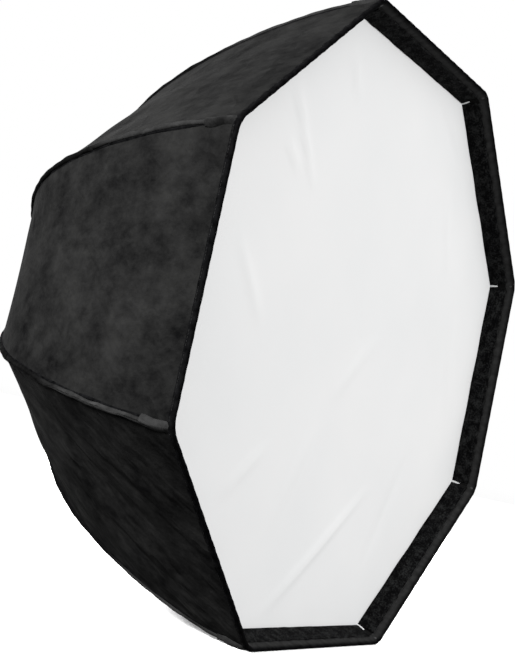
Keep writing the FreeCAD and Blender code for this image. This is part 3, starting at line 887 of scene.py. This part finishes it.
def lip(number):
    """The hem behind the rim, with its loop tape."""
    wave = random.Random(LIP_SEED + number).uniform(0, 6.28)
    run = LIP_RUN + 0.0028

    def position(row, column):
        distance = run * row
        share = 2 * column - 1
        ripple = 0.0004 * smooth_step(0.0, 0.01, distance) * sin(share * 21 + wave)
        radius, depth = lip_section(distance, ripple)
        flat = (share * radius * SIN_HALF, distance, number * 1.3)
        return rounded_side(number, radius, depth, share), flat

    hem = grid("lip_hem_%d" % number, 14, 90, position, NYLON)
    thicken(hem, LIP_CLOTH, OUTWARDS)
    with_cover(hem, "gore_side", number)
    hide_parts("lip_%d" % number)
    loop = tape("loop_tape_%d" % number, number, 0.0003, LOOP_THICKNESS, LOOP, 0.0)
    with_cover(loop, "gore_side", number)


def tape(name, number, low, thickness, made, wander):
    """One straight tape with square ends, along a side of the lip. wander waves its inner edge."""
    start, end = LIP_RUN - TAPE_WIDTH, LIP_RUN - 0.0002
    chance = random.Random(number * 13 + len(name))
    phases = [chance.uniform(0, 6.28) for _ in range(4)]
    rows, columns = 18, 150
    angle = panel_angle(number)

    def section(row, column, top):
        sideways = (2 * column - 1) * TAPE_HALF_LENGTH
        edge = wander * (sin(sideways * 95 + phases[0]) + 0.6 * sin(sideways * 210 + phases[1]))
        edge *= smooth_step(0.0, 0.03, TAPE_HALF_LENGTH - abs(sideways))
        distance = start + (end + edge - start) * row
        rounded = min(row, 1 - row) * (end - start)
        crown = smooth_step(0.0, 0.0012, rounded)
        nap = 0.00016 * sin(sideways * 1900 + row * 31)
        nap *= sin(row * 47 + sideways * 700 + phases[2])
        lift = 0.00035 * sin(sideways * 33 + phases[3])
        inward = low + (thickness * (0.45 + 0.55 * crown) + nap + lift * 0.5 if top else lift * 0.5)
        radius, depth = lip_section(distance, inward)
        return placed(radius * COS_HALF, depth, sideways, angle), (sideways, distance, number * 1.7)

    points, cloth, faces = [], [], []
    across = columns + 1
    for top in (True, False):
        for row in range(rows + 1):
            for column in range(columns + 1):
                point, flat = section(row / rows, column / columns, top)
                points.append(point)
                cloth.append(flat)
    under = (rows + 1) * across
    for row in range(rows):
        for column in range(columns):
            a = row * across + column
            faces.append((a, a + 1, a + 1 + across, a + across))
            faces.append((under + a, under + a + across, under + a + across + 1, under + a + 1))
    for column in range(columns):
        last = rows * across + column
        faces.append((column + 1, column, under + column, under + column + 1))
        faces.append((last, last + 1, under + last + 1, under + last))
    for row in range(rows):
        first = row * across
        last = first + columns
        faces.append((first, first + across, under + first + across, under + first))
        faces.append((last + across, last, under + last, under + last + across))
    return make_mesh(name, points, faces, made, cloth=cloth)


# Diffuser

def diffuser_height(x, z):
    """How far the cloth's faint creases stand out: (start, end, width, height), in x and z."""
    creases = [
        ((-0.262, 0.262), (-0.165, 0.135), 0.0030, 0.0015),
        ((-0.148, 0.318), (-0.108, 0.262), 0.0028, 0.0012),
        ((-0.240, 0.178), (-0.203, 0.148), 0.0030, 0.0010),
        ((0.110, -0.170), (-0.100, -0.345), 0.0032, 0.0020),
        ((-0.150, -0.145), (-0.225, -0.215), 0.0040, 0.0012),
        ((0.075, 0.340), (0.180, 0.270), 0.0060, -0.0008),
        ((0.160, 0.235), (0.205, 0.120), 0.0050, 0.0009),
        ((0.049, 0.018), (-0.037, -0.084), 0.0060, 0.0008),
        ((-0.290, 0.060), (-0.210, -0.030), 0.0050, 0.0008),
        ((0.250, 0.080), (0.285, -0.060), 0.0050, 0.0008),
        ((-0.060, -0.110), (-0.120, -0.260), 0.0060, 0.0008),
        ((0.200, -0.110), (0.120, -0.290), 0.0060, -0.0008)]
    total = 0.0
    for start, end, width, height in creases:
        share, off = beside_line(x, z, start, end)
        if 0 < share < 1:
            lift = CREASE_GAIN * height * sin(pi * share)
            total += lift * exp(-off / (2 * width * width))
    return total


def diffuser():
    """One octagon of white cloth, from rings that grow from its middle."""
    rings, per_side = 62, 32
    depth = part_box("diffuser")[0].y + 0.0003
    corner = LIP_BACK[0] - 0.0016
    points, cloth, faces = [Vector((0, depth, 0))], [(0, 0, 0)], []
    count = per_side * 8
    for ring in range(1, rings + 1):
        share = ring / rings
        for index in range(count):
            side, along = divmod(index, per_side)
            a, b = rib_angle(side + 1), rib_angle(side + 2)
            part = along / per_side
            x = corner * share * (cos(a) * (1 - part) + cos(b) * part)
            z = corner * share * (sin(a) * (1 - part) + sin(b) * part)
            held = smooth_step(1.0, 0.93, share)
            waves = 0.0006 * sin(x * 19 + 1) * sin(z * 23 + 2)
            y = depth - held * (diffuser_height(x, z) + waves)
            edge = 0.0004 * smooth_step(0.9, 1.0, share) * sin(index * 0.7) * sin(pi * part)
            points.append(Vector((x, y - edge, z)))
            cloth.append((x, z, 0))
    for index in range(count):
        faces.append((0, 1 + index, 1 + (index + 1) % count))
    for ring in range(rings - 1):
        first = 1 + ring * count
        for index in range(count):
            after = (index + 1) % count
            faces.append((first + index, first + count + index, first + count + after, first + after))
    made = make_mesh("diffuser_sheet", points, [face[::-1] for face in faces], DIFFUSER, cloth=cloth)
    thicken(made, DIFFUSER_CLOTH)
    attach(made, "diffuser")
    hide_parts("diffuser")


def diffuser_edges():
    """The diffuser's tapes, and its corner ears between their ends."""
    for number in SIDES:
        wander = 0.0011 if number == 2 else 0.00035
        strip = tape("diffuser_tape_%d" % number, number, 0.0013, TAPE_THICKNESS, FUZZY, wander)
        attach(strip, "diffuser")
        if number == 1:
            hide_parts("diffuser_tapes")
    for number in SIDES:
        angle = rib_angle(number)

        def position(row, column, angle=angle):
            distance = LIP_RUN + 0.0015 - 0.0125 * row
            radius, depth = lip_section(distance, 0.0020 + 0.0006 * sin(row * 3))
            half = 0.0016 * (1 - 0.45 * row)
            sideways = (2 * column - 1) * half
            return placed(radius, depth, sideways, angle), (sideways, distance, 0)

        ear = grid("diffuser_ear_%d" % number, 8, 4, position, DIFFUSER)
        thicken(ear, DIFFUSER_CLOTH)
        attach(ear, "diffuser")


# Zip at the bottom

def zip_parts():
    """The tapes and teeth along the slit that the slider runs on."""
    number = ZIP_PANEL
    angle = panel_angle(number)
    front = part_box("zip_slider")[0].y - RIM_Y - ZIP_LEAD
    back = front + ZIP_LENGTH

    def length_at(depth):
        """The length along the cover at this depth, by halving."""
        low, high = CROWN_LENGTH, TOTAL_LENGTH
        for _ in range(40):
            middle = (low + high) / 2
            if along_cover(middle)[1] > depth:
                low = middle
            else:
                high = middle
        return low

    start, end = length_at(back), length_at(front)

    def on_panel(length, sideways, out):
        radius, depth, turn = along_cover(length)
        share = sideways / (radius * SIN_HALF)
        lift = cloth_lift(number, length, share) + out
        radial = radius * COS_HALF + sin(turn) * lift
        return placed(radial, depth + cos(turn) * lift, sideways, angle)

    for word, side in (("left", -1), ("right", 1)):
        def position(row, column, side=side):
            length = start + (end - start) * row
            sideways = side * (0.0012 + 0.0125 * column)
            out = 0.0009 - 0.0003 * column
            return on_panel(length, sideways, out), (sideways, length, 5)
        strip = grid("zip_tape_%s" % word, 90, 5, position, BINDING, flip=side > 0)
        thicken(strip, ZIP_CLOTH)
        with_cover(strip, "gore_side", number)
    points, faces = [], []
    for index in range(ZIP_TEETH):
        length = start + (end - start) * (index + 0.5) / ZIP_TEETH
        side = 1 if index % 2 else -1
        first = len(points)
        for out in TOOTH_HEIGHTS:
            for along, across in TOOTH_OUTLINE:
                points.append(on_panel(length + along, side * across * MILLIMETRE, out))
        for face in TOOTH_FACES:
            corners = tuple(first + corner for corner in face)
            faces.append(corners if side > 0 else corners[::-1])
    teeth = make_mesh("zip_teeth", points, faces, PLASTIC, smooth=False)
    with_cover(teeth, "gore_side", number)


# Frame finishes

def finish_frame():
    """The frame's own materials, by the names of its nodes."""
    finishes = {
        "rib_inner": ROD, "rib_outer": ROD, "stretcher": STEEL, "shaft_end_cap": PLASTIC,
        "shaft": TUBE, "crown_notch": PLASTIC, "crown_wire": STEEL, "rosette": BINDING,
        "rear_ferrule": PLASTIC, "latch_spring": STEEL, "runner_wire": STEEL, "runner": PLASTIC,
        "zip_slider": ROD}
    for name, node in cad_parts.items():
        stem = name.rstrip("0123456789").rstrip("_")
        if stem in finishes:
            node.data.materials.clear()
            node.data.materials.append(finishes[stem])


# Stage

FLOOR_SIZE = 40
FLOOR_GAP = 0.0005
FLOOR_GLOW = 0.28

# name, place, aim, size, power
LAMPS = (
    ("key", (-2.7, 0.9, 1.3), (-0.1, 0.1, 0), 0.8, 310),
    ("front", (0.5, -3.2, 0.9), (0, 0, 0), 1.6, 74),
    ("back", (2.6, 1.9, 1.0), (0, 0.1, 0), 1.2, 230))

# The camera was fitted to the rim's corners in the photograph. Its place is in rim radii.
CAMERA_LENS = 65.3
CAMERA_SENSOR = 36.0
CAMERA_FORWARD = (0.8217, 0.5622, 0.0898)
CAMERA_RIGHT = (0.537, -0.818, 0.208)
CAMERA_PLACE = (-3.161, -1.712, -0.359)


def stage():
    """The white floor. It glows a little, to stay white, and doesn't light the object."""
    bpy.ops.mesh.primitive_plane_add(size=FLOOR_SIZE, location=(0, 0, FLOOR_Z - FLOOR_GAP))
    floor = bpy.context.object
    floor.name = "floor"
    made, nodes = material("pale_floor", grey(0.80), 0.8, specular=0.1)
    clouds = nodes.noise(nodes.place(), 3.0)
    nodes.colour(nodes.ramp(clouds, [(0.3, grey(0.79)), (0.7, grey(0.81))]))
    nodes.shader.inputs["Emission Color"].default_value = (1.0, 1.0, 1.0, 1.0)
    nodes.shader.inputs["Emission Strength"].default_value = FLOOR_GLOW
    floor.data.materials.append(made)
    floor.visible_diffuse = False
    floor.visible_glossy = False


def light(name, place, aim, size, power):
    lamp = bpy.data.lights.new(name, "AREA")
    lamp.shape = "DISK"
    lamp.size = size
    lamp.energy = power
    made = bpy.data.objects.new(name, lamp)
    made.location = place
    made.rotation_euler = (Vector(aim) - Vector(place)).to_track_quat("-Z", "Y").to_euler()
    SCENE.collection.objects.link(made)


def lights():
    """Three soft lamps, and a white world that is dimmer behind the camera and below."""
    world = bpy.data.worlds.new("studio")
    SCENE.world = world
    world.use_nodes = True
    background = world.node_tree.nodes["Background"]
    background.inputs["Color"].default_value = (1.0, 1.0, 1.0, 1.0)
    tree = world.node_tree
    direction = tree.nodes.new("ShaderNodeTexCoord").outputs["Generated"]

    def fade(axis, low, high, faint):
        """From faint to 1, as a direction turns towards the axis."""
        dot = tree.nodes.new("ShaderNodeVectorMath")
        dot.operation = "DOT_PRODUCT"
        dot.inputs[1].default_value = axis
        tree.links.new(direction, dot.inputs[0])
        spread = tree.nodes.new("ShaderNodeMapRange")
        for entry, value in (("From Min", low), ("From Max", high), ("To Min", faint)):
            spread.inputs[entry].default_value = value
        tree.links.new(dot.outputs["Value"], spread.inputs["Value"])
        return spread.outputs[0]

    product = tree.nodes.new("ShaderNodeMath")
    product.operation = "MULTIPLY"
    tree.links.new(fade((0.82, 0.56, 0.0), -0.6, 0.5, 0.86), product.inputs[0])
    tree.links.new(fade((0.0, 0.0, 1.0), -0.3, 0.0, 0.25), product.inputs[1])
    tree.links.new(product.outputs[0], background.inputs["Strength"])
    for lamp in LAMPS:
        light(*lamp)
    SCENE.view_settings.view_transform = "Standard"


def camera():
    lens = bpy.data.cameras.new("camera")
    lens.sensor_width = CAMERA_SENSOR
    lens.lens = CAMERA_LENS
    made = bpy.data.objects.new("camera", lens)
    forward = Vector(CAMERA_FORWARD).normalized()
    right = Vector(CAMERA_RIGHT)
    up = right.cross(forward).normalized()
    right = forward.cross(up).normalized()
    turn = Matrix((right, up, -forward)).transposed().to_4x4()
    place = Vector((0, RIM_Y, 0)) + RIM_RADIUS * Vector(CAMERA_PLACE)
    made.matrix_world = Matrix.Translation(place) @ turn
    SCENE.collection.objects.link(made)
    SCENE.camera = made


camera()
lights()
stage()
cover_panels()
for number in SIDES:
    sleeve(number)
    seam_and_shade_lines(number)
    pocket(number)
    rim_binding(number)
    lip(number)
diffuser()
diffuser_edges()
zip_parts()
finish_frame()
